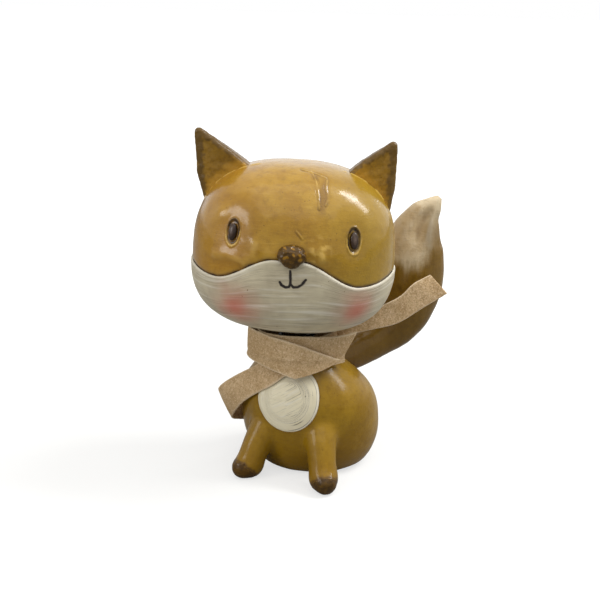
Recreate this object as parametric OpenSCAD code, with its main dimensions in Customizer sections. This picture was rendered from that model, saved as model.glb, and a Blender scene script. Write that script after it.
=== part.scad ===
// Seated fox figurine with a sprung, nodding head and a felt scarf.
// Millimetres, +Z up. The fox faces -Y; its own left side is +X.
// The origin is the centre of the flat face under the body.

/* [Body] */
// Half-width of the body at its flat foot
base_r = 16.5; // [15:0.5:20]
// Half-width of the rump at its widest
rump_r = 25; // [23:0.5:28]
// Height of the widest level of the rump
rump_z = 18; // [14:0.5:20]
// Half-width of the neck
neck_r = 12.5; // [11.5:0.25:14]
// Height of the top of the neck
neck_z = 45; // [42:0.5:48]
// How far the neck leans forward of the foot
neck_forward = 11; // [8:0.5:13]
// How far the neck leans sideways, to the fox's right
neck_side = 2.5; // [0:0.25:4]
// How late the rump narrows to the neck
shoulder_power = 1.6; // [1:0.05:1.8]
// Depth of the body as a share of its width
body_depth = 0.95; // [0.85:0.01:1.05]

/* [Belly patch] */
// Height of the middle of the pale patch
patch_z = 30; // [28:0.5:33]
// Half-width of the patch
patch_half_w = 10.75; // [8:0.25:12]
// Half-height of the patch
patch_half_h = 11.5; // [9:0.25:13]
// Thickness of the patch
patch_depth = 0.9; // [0.6:0.1:1.5]

/* [Front legs] */
// Radius of a leg at the shoulder
shoulder_r = 5.6; // [5:0.1:6.5]
// Radius of a leg at the ankle
ankle_r = 4.6; // [4:0.1:5.2]
// Height of an ankle
ankle_z = 8; // [7:0.25:9]
// How far the toes splay out and forward of the paw's middle
toe_reach = 1.6; // [1:0.1:2.2]
// Radius of a paw
paw_r = 5.3; // [4.8:0.1:6]
// Distance of a shoulder from the body's middle plane
shoulder_x = 8.5; // [7:0.25:10]
// How far the shoulders stand in front of the origin
shoulder_forward = 16.5; // [15:0.25:18]
// Height of the shoulders
shoulder_z = 23; // [20:0.5:26]
// Distance of a paw from the body's middle plane
paw_x = 14; // [12:0.25:16]
// How far the paws stand in front of the origin
paw_forward = 27; // [25:0.25:29]
// How much further forward the fox's left paw stands
paw_stagger = 1.5; // [0:0.25:3]
// Length of the dark tip of a paw
paw_tip_len = 4.5; // [3:0.25:6]

/* [Tail] */
// Half-width of the tail at its widest
tail_half_w = 11; // [9:0.25:12]
// Half-thickness of the tail at its widest
tail_half_t = 7; // [5:0.25:8]
// Height of the tail's tip
tail_tip_z = 94; // [88:0.5:96]
// Sideways reach of the tail's middle line
tail_side = 29; // [28:0.5:32]
// Backward reach of the tail's middle line
tail_back = 28; // [27:0.5:31]
// Height of the tail's root in the body
tail_root_z = 38; // [35:0.5:41]
// Height of the edge of the pale tip, at the middle
tail_pale_z = 68; // [60:0.5:74]
// Depth of the carved groove in the pale tip
tail_groove = 1.4; // [0.6:0.1:2]

/* [Head] */
// Half-width of the head
head_half_w = 34.3; // [32:0.1:35]
// Half-depth of the head
head_half_d = 28.1; // [26:0.1:29]
// Height of the crown above the cheeks' level
crown_h = 32; // [29:0.25:34]
// Depth of the chin below the cheeks' level
chin_h = 24.4; // [23:0.1:25]
// Gap between the top of the neck and the underside of the chin
chin_gap = 9; // [8:0.1:10]
// How far the head's middle stands in front of the neck
head_forward = 1.8; // [0:0.1:3]
// How far the head's middle stands beside the neck
head_side = 1.1; // [0:0.1:2]
// How far the head is turned from straight ahead, to its left
head_yaw = 18.5; // [10:0.5:22]
// How far the face is cocked over, to its left
head_cock = 3; // [0:0.5:5]
// Wall of the hollow head
head_wall = 3; // [2:0.25:4]

/* [Face] */
// Thickness of the pale face mask
mask_depth = 1.4; // [1:0.1:2]
// How far the mask stands proud of the head
mask_proud = 0.5; // [0.2:0.05:0.8]
// Half-width of the mask's flat peak
mask_peak_half_w = 4; // [2:0.1:6]
// Height of the mask's peak under the nose, above the cheeks' level
mask_peak = 4.4; // [3:0.1:6]
// Depth of the mask's edge on the cheeks, below the cheeks' level
mask_dip = 4; // [2:0.1:6]
// Distance from the middle to the bottom of the dip
mask_dip_x = 24; // [20:0.5:27]
// Rise of the mask's edge to its side tips
mask_tip_rise = 2.4; // [0:0.1:5]
// How far the mask's outline sits to the fox's right of the middle
mask_shift = 1.2; // [0:0.1:2]
// Half-width of the nose
nose_half_w = 4.7; // [4:0.1:5.5]
// Half-height of the nose
nose_half_h = 3.8; // [3.2:0.1:4.6]
// How far the nose stands out
nose_out = 4.2; // [3:0.1:5.5]
// Height of the nose above the cheeks' level
nose_z = 5.9; // [5:0.1:8]
// Distance of an eye from the face's middle
eye_x = 19.7; // [17:0.1:21]
// Height of the eyes above the cheeks' level
eye_z = 11.5; // [9:0.1:14]
// Half-width of an eye
eye_half_w = 1.75; // [1.3:0.05:2.2]
// Half-height of an eye
eye_half_h = 3.4; // [2.8:0.05:4]
// Width of the dished rim round an eye
eye_rim = 1.25; // [0.6:0.05:2]

/* [Ears] */
// Height of an ear's tip above the crown
ear_rise = 8.8; // [7:0.1:11]
// How far an ear's tip stands in from the head's side
ear_tip_inset = 1.9; // [0.5:0.1:4]
// How far the outer end of an ear's foot stands in from the head's side
ear_foot_inset = 3.3; // [2.5:0.1:5]
// Width of an ear at its foot
ear_w = 16; // [13:0.1:17]
// Height of the bend in an ear's outer edge above its foot
ear_bend = 8; // [5:0.25:10]
// How far both ear tips lean over to the fox's right
ear_lean = 1.8; // [0:0.1:3]
// Thickness of an ear at its foot
ear_t = 9; // [6:0.25:11]
// How far an ear's tip stands forward of its foot
ear_tip_forward = 1; // [0:0.1:2]
// Radius of an ear's rounded tip
ear_tip_r = 1.3; // [1:0.1:2]

/* [Neck spring] */
// Wire of the spring
spring_wire = 1.2; // [0.8:0.05:1.4]
// Radius of the spring, to the middle of its wire
spring_r = 6; // [5.5:0.1:6.5]
// Number of curls
spring_curls = 4; // [3:1:5]
// Height of the gap that the spring bridges
spring_h = 14; // [12:0.25:16]
// Radius of the spring seats' flanges
seat_r = 8.6; // [8.2:0.1:9.2]
// Thickness of the spring seats' flanges
seat_t = 1.6; // [1.2:0.1:2.5]
// Radius of the peg that holds the lower seat in the neck
peg_r = 4; // [3:0.1:4.5]
// Length of that peg
peg_len = 8; // [5:0.25:12]
// Radius of the upper seat's post, on which the head turns
post_r = 4; // [3:0.1:5]
// Length of that post
post_len = 9; // [6:0.25:10]
// How far the socket's rim is set up into the chin
socket_inset = 1.2; // [0.5:0.1:2]
// Wall of the socket glued into the head
socket_wall = 1.5; // [1:0.1:2]

/* [Scarf] */
// Thickness of the felt
felt_t = 1; // [0.8:0.05:1.2]
// Width of the strips
felt_w = 10.1; // [10:0.1:11]
// How far under the chin the strips lie
felt_drop = 9; // [8.9:0.05:9.5]
// Gap between layers of felt, and between felt and casting
felt_gap = 0.4; // [0.3:0.05:0.6]

/* [Fits] */
// Gap round the lower seat's peg
glue_gap = 0.1; // [0.05:0.01:0.2]
// Running gap round the upper seat's post
turn_gap = 0.05; // [0.03:0.01:0.1]
// Gap between the spring's ends and its seats
spring_end_gap = 0.05; // [0.02:0.01:0.1]
// Room round the spring and its upper seat inside the socket
spring_room = 0.7; // [0.4:0.1:1.5]

/* [Hidden] */

ochre = [0.70, 0.50, 0.22];
pale = [0.90, 0.88, 0.82];
umber = [0.28, 0.17, 0.09];
pearl = [0.80, 0.72, 0.60];
beige = [0.74, 0.63, 0.52];
steel = [0.66, 0.67, 0.69];

ring_n = 48;            // points round a slice of the body or head
body_slices = 16;       // slices up the body
head_slices = 22;       // slices up the head
hollow_n = 24;          // points round a slice of the head's hollow
hollow_slices = 12;     // slices up the head's hollow
plan_power = 2.35;      // squareness of the head seen from above
crown_power = 2.6;      // squareness of the crown seen from the front
chin_power = 2.8;       // squareness of the chin seen from the front
lean_power = 2;         // how late the body's middle line bends forward
neck_x = -neck_side;
neck_y = -neck_forward;
far = 200;              // longer than anything here, for cutting tools
round_fn = 24;          // facets of the balls that legs and ears are hulled from

chin_z = neck_z + chin_gap;
cheek_z = chin_z + chin_h;                      // the cheeks' level
head_pos = [neck_x - head_side, neck_y - head_forward, cheek_z];
seat_z = neck_z;                                // top of the neck
spring_z = seat_z + seat_t;                     // lower end of the gap
upper_z = spring_z + spring_h;                  // underside of the upper seat
post_z = upper_z + seat_t;                      // foot of the upper post
socket_r = seat_r + spring_room + socket_wall;  // outside of the socket in the head
neck_hole_r = socket_r + glue_gap;              // hole in the chin that the socket fills

function smooth(t) = t * t * (3 - 2 * t);
function mix(a, b, t) = a + (b - a) * t;
function clamp01(t) = max(0, min(1, t));

// Body

function body_r(z) =
    z < rump_z ? base_r + (rump_r - base_r) * sqrt(1 - pow(1 - z / rump_z, 2))
    : z < neck_z ? mix(rump_r, neck_r, smooth(pow((z - rump_z) / (neck_z - rump_z), shoulder_power)))
    : neck_r;
function body_shift(z) = pow(clamp01(z / neck_z), lean_power);
// A point on the body's skin: turn 0 is straight ahead, 90 is the fox's left
function body_point(turn, z, lift = 0) =
    [neck_x * body_shift(z) + (body_r(z) + lift) * sin(turn),
     neck_y * body_shift(z) - (body_r(z) * body_depth + lift) * cos(turn),
     z];
function body_ring(z, lift) = [for (i = [0:ring_n - 1]) body_point(360 * i / ring_n, z, lift)];
// Slices crowd together at the foot and at the neck
function body_level(i) = neck_z * mix(i / body_slices, (1 - cos(180 * i / body_slices)) / 2, 0.6);

// One convex slab between two level rings of points
module slab(low, high) {
    hull() skin([low, high]);
}

// A closed skin over a stack of rings, each running anticlockwise seen from the last one
module skin(rings) {
    n = len(rings[0]);
    m = len(rings);
    points = [for (r = rings) for (p = r) p];
    sides = [for (i = [0:m - 2]) for (j = [0:n - 1])
        let (a = i * n + j, b = i * n + (j + 1) % n)
        each [[a, b + n, b], [a, a + n, b + n]]];
    ends = [[for (j = [0:n - 1]) j], [for (j = [0:n - 1]) m * n - 1 - j]];
    polyhedron(points, concat(sides, ends));
}

module torso(inset = 0) {
    for (i = [0:body_slices - 1])
        slab(body_ring(body_level(i), -inset), body_ring(body_level(i + 1), -inset));
}

// Side is 1 for the fox's left leg and -1 for its right leg
function paw_y(side) = -paw_forward - (side > 0 ? paw_stagger : 0);
function leg_joints(side) = [
    [side * shoulder_x, -shoulder_forward, shoulder_z, shoulder_r],
    [side * mix(shoulder_x, paw_x, 0.45), mix(-shoulder_forward, paw_y(side), 0.5), mix(shoulder_z, ankle_z, 0.55),
        mix(shoulder_r, ankle_r, 0.7)],
    [side * mix(shoulder_x, paw_x, 0.85), mix(-shoulder_forward, paw_y(side), 0.82), ankle_z, ankle_r],
    [side * paw_x, paw_y(side) + toe_reach * 0.625, paw_r * 0.85, paw_r],
    [side * (paw_x + toe_reach), paw_y(side) - toe_reach, paw_r * 0.72, paw_r * 0.78]];

module leg(side) {
    joints = leg_joints(side);
    intersection() {
        for (i = [0:len(joints) - 2])
            hull()
                for (j = [i, i + 1])
                    translate([joints[j].x, joints[j].y, joints[j].z]) sphere(joints[j][3], $fn = round_fn);
        above_floor();
    }
}

module above_floor() {
    translate([-far / 2, -far / 2, 0]) cube(far);
}

// The half-space beyond a plane square across the toes
module toe_zone(side) {
    ankle = leg_joints(side)[2];
    toe = leg_joints(side)[4];
    way = unit([toe.x - ankle.x, toe.y - ankle.y, toe.z - ankle.z]);
    translate([toe.x, toe.y, toe.z])
        rotate([0, 0, atan2(way.x, -way.y)])
            rotate([-asin(way.z), 0, 0])
                translate([-far / 2, paw_tip_len - toe[3] - far, -far / 2])
                    cube(far);
}

module paw_tip(side) {
    color(umber)
        difference() {
            intersection() {
                leg(side);
                toe_zone(side);
            }
            torso();
        }
}

module patch_outline() {
    translate([neck_x * 0.4, far / 4, patch_z])
        rotate([90, 0, 0])
            scale([patch_half_w, patch_half_h, 1])
                cylinder(r = 1, h = far, $fn = 72);
}

module belly_patch() {
    color(pale)
        difference() {
            intersection() {
                torso();
                patch_outline();
                front_half();
            }
            torso(patch_depth);
            for (side = [-1, 1])
                leg(side);
        }
}

module front_half() {
    translate([-far / 2, -far, 0]) cube(far);
}

module body_casting() {
    color(ochre)
        difference() {
            union() {
                torso();
                for (side = [-1, 1])
                    difference() {
                        leg(side);
                        toe_zone(side);
                    }
            }
            difference() {
                intersection() {
                    patch_outline();
                    front_half();
                }
                torso(patch_depth);
                for (side = [-1, 1])
                    leg(side);
            }
            translate([neck_x, neck_y, seat_z - peg_len - glue_gap])
                cylinder(r = peg_r + glue_gap, h = far, $fn = 64);
        }
}

// Tail

// Middle line of the tail: how far along, sideways, back, height, half-width share
tail_line = [
    [0.16 * tail_side, 0.12 * tail_back, mix(tail_root_z, tail_tip_z, -0.07), 0.50],
    [0.58 * tail_side, 0.68 * tail_back, mix(tail_root_z, tail_tip_z, 0.0424), 0.62],
    [0.82 * tail_side, 0.93 * tail_back, mix(tail_root_z, tail_tip_z, 0.16), 0.82],
    [0.95 * tail_side, 1.00 * tail_back, mix(tail_root_z, tail_tip_z, 0.33), 0.97],
    [0.99 * tail_side, 1.00 * tail_back, mix(tail_root_z, tail_tip_z, 0.52), 1.00],
    [0.97 * tail_side, 1.00 * tail_back, mix(tail_root_z, tail_tip_z, 0.70), 0.94],
    [1.02 * tail_side, 1.01 * tail_back, mix(tail_root_z, tail_tip_z, 0.86), 0.71],
    [1.14 * tail_side, 1.03 * tail_back, mix(tail_root_z, tail_tip_z, 0.95), 0.43],
    [1.25 * tail_side, 1.06 * tail_back, mix(tail_root_z, tail_tip_z, 1.0), 0.08]];

function spline(p, t) =
    let (last = len(p) - 1,
         k = min(floor(t), last - 1),
         f = t - k,
         a = p[max(k - 1, 0)],
         b = p[k],
         c = p[k + 1],
         d = p[min(k + 2, last)])
    b + 0.5 * f * (c - a + f * (2 * a - 5 * b + 4 * c - d + f * (3 * (b - c) + d - a)));

tail_rings = 32;
tail_sides = 28;
tail_face = 20;         // the tail's broad side faces this many degrees to the fox's left of ahead
function first3(p) = [p.x, p.y, p.z];
function unit(v) = v / norm(v);
function tail_at(i) = spline(tail_line, (len(tail_line) - 1) * i / tail_rings);
function tail_dir(i) = unit(first3(tail_at(min(i + 1, tail_rings))) - first3(tail_at(max(i - 1, 0))));
function tail_ring(i) =
    let (p = tail_at(i),
         flat_way = [sin(tail_face), -cos(tail_face), 0],
         broad = unit(cross(tail_dir(i), flat_way)),
         thick = unit(cross(tail_dir(i), broad)))
    [for (j = [0:tail_sides - 1])
        let (a = 360 * j / tail_sides,
             half_t = tail_half_t * pow(p[3], 0.8) - groove(i, a))
        first3(p) + broad * cos(a) * tail_half_w * p[3] + thick * sin(a) * half_t];
// Depth of the carved groove: it runs up the front of the pale tip and fades out at both ends
function groove(i, a) =
    let (share = i / tail_rings)
    tail_groove * smooth(clamp01((share - 0.55) / 0.15)) * smooth(clamp01((0.9 - share) / 0.15))
        * pow(max(0, -sin(a)), 16);

module whole_tail() {
    skin([for (i = [0:tail_rings]) tail_ring(i)]);
}

// Zigzag edge of the pale tip, across the tail and up, in half-widths of the tail
zigzag = [[-18, 0.55], [-0.82, 0.45], [-0.18, -0.45], [0.27, -0.27], [0.82, 0.27], [18, 0.73]];
// Everything above that edge
module pale_zone() {
    translate([tail_side, tail_back, tail_pale_z])
        rotate([90, 0, tail_face])
            translate([0, 0, -far / 2])
                linear_extrude(far) polygon(concat(tail_half_w * zigzag, [[far, far], [-far, far]]));
}

module tail() {
    color(ochre)
        difference() {
            whole_tail();
            pale_zone();
            torso();
        }
}

module tail_tip() {
    color(pearl)
        intersection() {
            whole_tail();
            pale_zone();
        }
}

// Neck spring and its seats

module on_neck(z) {
    translate([neck_x, neck_y, z]) children();
}

module lower_spring_seat() {
    color(umber) {
        on_neck(seat_z) cylinder(r = seat_r, h = seat_t, $fn = 64);
        on_neck(seat_z - peg_len) cylinder(r = peg_r, h = peg_len, $fn = 64);
    }
}

module upper_spring_seat() {
    color(umber) {
        on_neck(upper_z) cylinder(r = seat_r, h = seat_t, $fn = 64);
        on_neck(post_z) cylinder(r = post_r, h = post_len, $fn = 64);
    }
}

wire_sides = 6;
rings_per_curl = 8;
coil_rings = rings_per_curl * spring_curls;
coil_low = spring_z + spring_end_gap + spring_wire / 2;
coil_high = upper_z - spring_end_gap - spring_wire / 2;
coil_pitch = (coil_high - coil_low) / spring_curls;
function coil_ring(i) =
    let (turn = 360 * i / rings_per_curl,
         out = [cos(turn), sin(turn), 0],
         z = mix(coil_low, coil_high, i / coil_rings))
    [for (j = [0:wire_sides - 1])
        let (a = 360 * j / wire_sides)
        out * (spring_r + spring_wire / 2 * cos(a)) + [0, 0, z - spring_wire / 2 * sin(a)]];
echo(spring_least_gap = coil_pitch - spring_wire);

module neck_spring() {
    color(steel)
        on_neck(0) skin([for (i = [0:coil_rings]) coil_ring(i)]);
}

// The socket is glued into the chin; the head turns with it on the upper seat's post
module head_socket() {
    low = chin_z + socket_inset;
    hub_z = post_z + spring_end_gap;
    color(umber)
        difference() {
            on_neck(low) cylinder(r = socket_r, h = post_z + post_len - low, $fn = 64);
            on_neck(low - 1) cylinder(r = seat_r + spring_room, h = hub_z - low + 1, $fn = 64);
            on_neck(low) cylinder(r = post_r + turn_gap, h = far, $fn = 64);
        }
}

// Head. Its own frame has the face towards -Y and the origin at the cheeks' level.

module in_head() {
    translate(head_pos) rotate([0, 0, head_yaw]) rotate([0, head_cock, 0]) children();
}

function plan_r(a) = pow(pow(abs(cos(a)), plan_power) + pow(abs(sin(a)), plan_power), -1 / plan_power);
function head_power(s) = s > 0 ? crown_power : chin_power;
function head_width(s) = pow(max(0, 1 - pow(abs(s), head_power(s))), 1 / head_power(s));
function head_ring(s, grow, n) =
    let (w = max(head_width(s), 0.02),
         z = s > 0 ? s * (crown_h + grow) : s * (chin_h + grow))
    [for (i = [0:n - 1])
        let (a = 360 * i / n)
        [(head_half_w + grow) * w * plan_r(a) * cos(a), (head_half_d + grow) * w * plan_r(a) * sin(a), z]];
function head_level(i, m) = sin(-90 + 180 * i / m);

module head_form(grow = 0, n = ring_n, m = head_slices) {
    for (i = [0:m - 1])
        slab(head_ring(head_level(i, m), grow, n), head_ring(head_level(i + 1, m), grow, n));
}

// Height of the mask's upper edge at a distance from the face's middle
function mask_edge(x) =
    let (far_x = abs(x + mask_shift))
    far_x < mask_dip_x
        ? mix(mask_peak, -mask_dip, smooth(clamp01((far_x - mask_peak_half_w) / (mask_dip_x - mask_peak_half_w))))
        : -mask_dip + mask_tip_rise * pow((far_x - mask_dip_x) / (head_half_w - mask_dip_x), 2);
mask_step = 1.5;
mask_back = 2.5;          // the mask's rear edge lies this far behind the head's middle
module mask_zone() {
    half = head_half_w + 3;
    upper = [for (x = [-half:mask_step:half]) [x, mask_edge(x)]];
    rotate([90, 0, 0])
        translate([0, 0, -mask_back])
            linear_extrude(far)
                polygon(concat(upper, [[half, mask_edge(half)], [half, -far], [-half, -far]]));
}

// The round hole up through the chin
module neck_way() {
    on_neck(seat_z) cylinder(r = neck_hole_r, h = post_z - seat_z, $fn = 60);
}

// How far in front of the head's middle its skin lies, and the way that the skin faces there
function skin_depth(x, z) =
    let (s = z > 0 ? z / crown_h : z / chin_h,
         w = head_width(s))
    head_half_d * w * pow(max(0, 1 - pow(abs(x) / (head_half_w * w), plan_power)), 1 / plan_power);
skin_step = 0.2;
function skin_point(x, z) = [x, -skin_depth(x, z), z];
function skin_normal(x, z) =
    unit(cross(skin_point(x + skin_step, z) - skin_point(x - skin_step, z),
               skin_point(x, z + skin_step) - skin_point(x, z - skin_step)));

// Puts children on the face with their own -Y pointing straight out of the skin
module on_face(x, z) {
    n = skin_normal(x, z);
    translate(skin_point(x, z))
        rotate([0, 0, atan2(n.x, -n.y)])
            rotate([-asin(n.z), 0, 0])
                children();
}

module egg(half_w, half_t, half_h) {
    scale([half_w, half_t, half_h]) sphere(1, $fn = round_fn);
}

// Eyes sit in shallow dishes in the head
eye_dish_depth = 0.8;
eye_bulge = 1.1;
module eye_dish(side) {
    on_face(side * eye_x, eye_z)
        egg(eye_half_w + eye_rim, eye_dish_depth, eye_half_h + eye_rim);
}

module eye(side) {
    color(umber)
        in_head()
            difference() {
                on_face(side * eye_x, eye_z) egg(eye_half_w, eye_bulge, eye_half_h);
                difference() {
                    head_form();
                    eye_dish(side);
                }
            }
}

module left_eye() {
    eye(1);
}

module right_eye() {
    eye(-1);
}

// The nose is a rounded three-cornered nugget over the mask's peak
module nose() {
    upper_r = nose_half_h * 0.62;
    lower_r = nose_half_h * 0.5;
    color(umber)
        in_head()
            difference() {
                on_face(0, nose_z)
                    hull() {
                        for (side = [-1, 1])
                            translate([side * (nose_half_w - upper_r), 0, nose_half_h - upper_r])
                                egg(upper_r, nose_out * 0.86, upper_r);
                        translate([0, 0, nose_half_h * 0.3]) egg(upper_r, nose_out, upper_r);
                        translate([0, 0, lower_r - nose_half_h]) egg(lower_r * 1.3, nose_out * 0.7, lower_r);
                    }
                head_form();
                intersection() {
                    head_form(mask_proud);
                    mask_zone();
                }
            }
}

// Ears: rounded three-cornered plates, glued on along the crown's shoulders
ear_bury = 3;           // how deep the uncut ear reaches into the head
ear_foot_r = 1.6;       // rounding of the foot's corners
ear_out_x = head_half_w - ear_foot_inset;
ear_in_x = ear_out_x - ear_w;
ear_tip_x = head_half_w - ear_tip_inset;
function shoulder_z(x) = crown_h * pow(max(0, 1 - pow(abs(x) / head_half_w, crown_power)), 1 / crown_power);
module ear(side) {
    bend_x = side * mix(ear_out_x, ear_tip_x, 0.57) - ear_lean / 2;
    color(ochre)
        in_head()
            difference() {
                hull() {
                    translate([side * ear_tip_x - ear_lean, -ear_tip_forward, crown_h + ear_rise - ear_tip_r])
                        sphere(ear_tip_r, $fn = round_fn);
                    for (y = [-1.5, 0.5] * ear_tip_forward)
                        translate([bend_x, y, shoulder_z(ear_out_x) + ear_bend])
                            sphere(ear_tip_r, $fn = round_fn);
                    for (x = [ear_in_x + ear_foot_r, ear_out_x - ear_foot_r])
                        for (y = [ear_foot_r - ear_t / 2, ear_t / 2 - ear_foot_r])
                            translate([side * x, y, shoulder_z(x) - ear_bury])
                                sphere(ear_foot_r, $fn = round_fn);
                }
                head_form();
            }
}

module left_ear() {
    ear(1);
}

module right_ear() {
    ear(-1);
}

// Scarf: three strips of felt laid round the neck in layers. A station holds the strip's
// lower and upper edge, each as its turn round the body, its height and its lift off the skin.

felt_z = chin_z - felt_drop;
strip_unit = felt_w / 10.1;                 // one unit of the heights and lifts in the stations
layer = (felt_t + felt_gap) / strip_unit;
under = (felt_gap + felt_t / 2) / strip_unit;
middle = under + layer;
over = middle + layer;
loop_line = [
    [124.4, 16.3, 43, 128.4, 22.5, 37.7],
    [125.5, 11, 34, 127.5, 19.8, 31],
    [126, 6, 25, 127, 15.6, 26],
    [127, 4.2, 16.5, 128, 12.6, 20],
    [132, 1.8, 6, 131, 8, 13.5],
    [141, -1.5, 2.4, 141, 7, 6],
    [158, -3, under, 158, 6.9, under + 1],
    [190, -3.2, under, 190, 6.9, under],
    [225, -3.2, under, 225, 6.9, under],
    [260, -3.2, under, 260, 6.9, under],
    [295, -3.2, under, 295, 7, under],
    [325, -3, middle, 325, 7.1, middle],
    [360, -3, middle, 360, 7.1, middle],
    [395, -3.1, middle, 395, 7.1, middle],
    [425, -3.2, middle + 0.8, 430, 7.1, middle + 2.4],
    [443, -3.3, middle + 1.6, 456, 7.1, middle + 6.4]];
band_line = [
    [-150, -3, middle, -150, 7, middle],
    [-105, -3.1, middle + 1, -105, 7.1, middle + 1],
    [-66, -3.2, middle + 2.4, -66, 7.1, middle + 2],
    [-32, -3.5, over + 0.4, -24, 7.1, over + 0.4],
    [-6, -4.8, over + 0.2, 18, 5.7, over + 0.2],
    [8, -5.9, over + 0.2, 52, 1.6, over + 1.2],
    [13.6, -6.4, over + 0.2, 71, -1.2, over + 2.4]];
drape_line = [
    [136, -3.2, under, 136, 6.9, under],
    [112, -3.2, under, 112, 6.9, under],
    [86, -3.2, under, 84, 6.9, under],
    [62, -3.4, under, 54, 6.7, under],
    [38, -3.9, under, 26, 6, under],
    [18, -4.8, under, 6, 4.9, under],
    [0, -6.8, under, -13, 2.6, under],
    [-14, -10.5, under, -31, -1, under],
    [-29, -14.6, under, -46, -6, under + 0.4],
    [-42, -19.4, under + 0.8, -59, -11, under + 2.8],
    [-55, -25.6, under + 2.2, -68, -17, under + 6.2],
    [-69, -31, under + 3, -80, -22, under + 6.8],
    [-83, -34, under + 1.2, -93, -24.6, under + 3],
    [-93, -35, under, -103, -25, under + 0.4]];
strip_steps = 4;
function strip_count(line) = (len(line) - 1) * strip_steps;
function strip_spot(line, i, k) =
    let (q = spline(line, i / strip_steps),
         e = [for (c = [0:2]) mix(q[c], q[c + 3], k)])
    body_point(e[0], felt_z + e[1] * strip_unit, e[2] * strip_unit);
function strip_face(line, i, k, side) =
    let (m = strip_count(line),
         along = strip_spot(line, min(i + 1, m), k) - strip_spot(line, max(i - 1, 0), k),
         across = strip_spot(line, i, 1) - strip_spot(line, i, 0))
    strip_spot(line, i, k) + unit(cross(along, across)) * side * felt_t / 2;
module strip(line) {
    color(beige)
        skin([for (i = [0:strip_count(line)])
            [for (k = [0:0.5:1]) strip_face(line, i, k, -1),
             for (k = [1:-0.5:0]) strip_face(line, i, k, 1)]]);
}

module scarf_loop() {
    strip(loop_line);
}

module scarf_band() {
    strip(band_line);
}

module scarf_drape() {
    strip(drape_line);
}

module head_shell() {
    color(ochre)
        difference() {
            in_head()
                difference() {
                    head_form();
                    head_form(-head_wall, hollow_n, hollow_slices);
                    difference() {
                        mask_zone();
                        head_form(mask_proud - mask_depth);
                    }
                    for (side = [-1, 1])
                        eye_dish(side);
                }
            neck_way();
        }
}

module face_mask() {
    color(pale)
        difference() {
            in_head()
                intersection() {
                    difference() {
                        head_form(mask_proud);
                        head_form(mask_proud - mask_depth);
                    }
                    mask_zone();
                }
            neck_way();
        }
}

module left_paw_tip() {
    paw_tip(1);
}

module right_paw_tip() {
    paw_tip(-1);
}

body_casting();
belly_patch();
left_paw_tip();
right_paw_tip();
tail();
tail_tip();
lower_spring_seat();
neck_spring();
upper_spring_seat();
head_socket();
head_shell();
face_mask();
left_ear();
right_ear();
nose();
left_eye();
right_eye();
scarf_loop();
scarf_band();
scarf_drape();
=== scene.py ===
"""Seated fox figurine: hand-painted cast resin, a felt scarf, and a head on a hidden neck spring."""
import math

import bmesh
import bpy
from mathutils import Matrix, Vector, noise


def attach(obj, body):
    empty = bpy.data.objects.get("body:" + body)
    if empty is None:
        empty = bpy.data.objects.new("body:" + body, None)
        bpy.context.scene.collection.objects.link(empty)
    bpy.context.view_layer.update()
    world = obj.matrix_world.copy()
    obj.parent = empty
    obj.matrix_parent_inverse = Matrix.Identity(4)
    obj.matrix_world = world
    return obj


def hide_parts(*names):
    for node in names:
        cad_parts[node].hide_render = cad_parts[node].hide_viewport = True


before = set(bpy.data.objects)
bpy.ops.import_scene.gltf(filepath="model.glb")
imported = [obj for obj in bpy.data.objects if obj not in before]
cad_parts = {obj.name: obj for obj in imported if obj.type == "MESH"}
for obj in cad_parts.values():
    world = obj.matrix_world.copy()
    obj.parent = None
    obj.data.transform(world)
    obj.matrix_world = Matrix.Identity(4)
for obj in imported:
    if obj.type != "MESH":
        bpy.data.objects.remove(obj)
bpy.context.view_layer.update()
scene = bpy.context.scene

# Sizes are millimetres unless a comment says metres; meshes become metres in piece()
MM = 0.001
NECK_Z = 45.0
NECK_X, NECK_Y = -2.5, -11.0
BASE_R, RUMP_R, RUMP_Z, NECK_R = 16.5, 25.0, 18.0, 12.5
SHOULDER_POWER, BODY_DEPTH = 1.6, 0.95
PATCH_X, PATCH_Z, PATCH_HALF_W, PATCH_HALF_H = -0.7, 30.0, 11.1, 11.6
HEAD_HALF_W, HEAD_HALF_D, CROWN_H, CHIN_H = 34.3, 28.1, 32.0, 24.4
PLAN_POWER, CROWN_POWER, CHIN_POWER = 2.35, 2.6, 2.8
HEAD_FRAME = (Matrix.Translation((-3.6, -12.8, 78.4)) @ Matrix.Rotation(math.radians(18.5), 4, "Z")
              @ Matrix.Rotation(math.radians(3), 4, "Y"))
CHIN_HOLE_R = 10.9
MASK_BACK = 2.5
MASK_PROUD, MASK_RECESS, MASK_T = 0.5, 0.9, 1.2
EYE_X, EYE_Z = 19.7, 11.5
EYE_RING_W, EYE_RING_H, EYE_HOLLOW_W, EYE_HOLLOW_H = 2.2, 3.85, 6.0, 7.0
EYE_BEAD = (1.35, 0.9, 2.8)
NOSE_Z = 5.9
EAR_TIP, EAR_LEAN, EAR_IN_X, EAR_OUT_X, EAR_T = (32.4, 40.8), 1.8, 15.0, 31.0, 9.0
FELT_T, FELT_GAP, FELT_W = 1.0, 0.4, 10.5
SPRING_R, SPRING_WIRE, SPRING_LOW, SPRING_HIGH, SPRING_CURLS = 6.0, 1.2, 47.25, 59.65, 4
NECK_WALL = 3.0  # how far the wall of the chin's hole goes up before it is closed
PATCH_T = 0.5
EDGE_OUT = 0.015  # how far a strip reaches past its stations' edges, in widths
STRIP_STEP, STRIP_CELLS, STATION_STEPS = 0.45, 24, 16
HEAD_CUTS, BODY_VOXEL, EAR_VOXEL = 79, 0.45, 0.28
COAT_IOR, COAT_ROUGHNESS = 1.35, 0.16
RESIN_BUMP, FELT_BUMP = 0.00014, 0.00025  # metres
LAMP_AIM = Vector((0, -0.005, 0.06))  # metres
WORLD_LEVEL = 0.34


# Small sums

def mix(a, b, t):
    return a + (b - a) * t


def smooth(t):
    t = min(max(t, 0.0), 1.0)
    return t * t * (3 - 2 * t)


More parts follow.
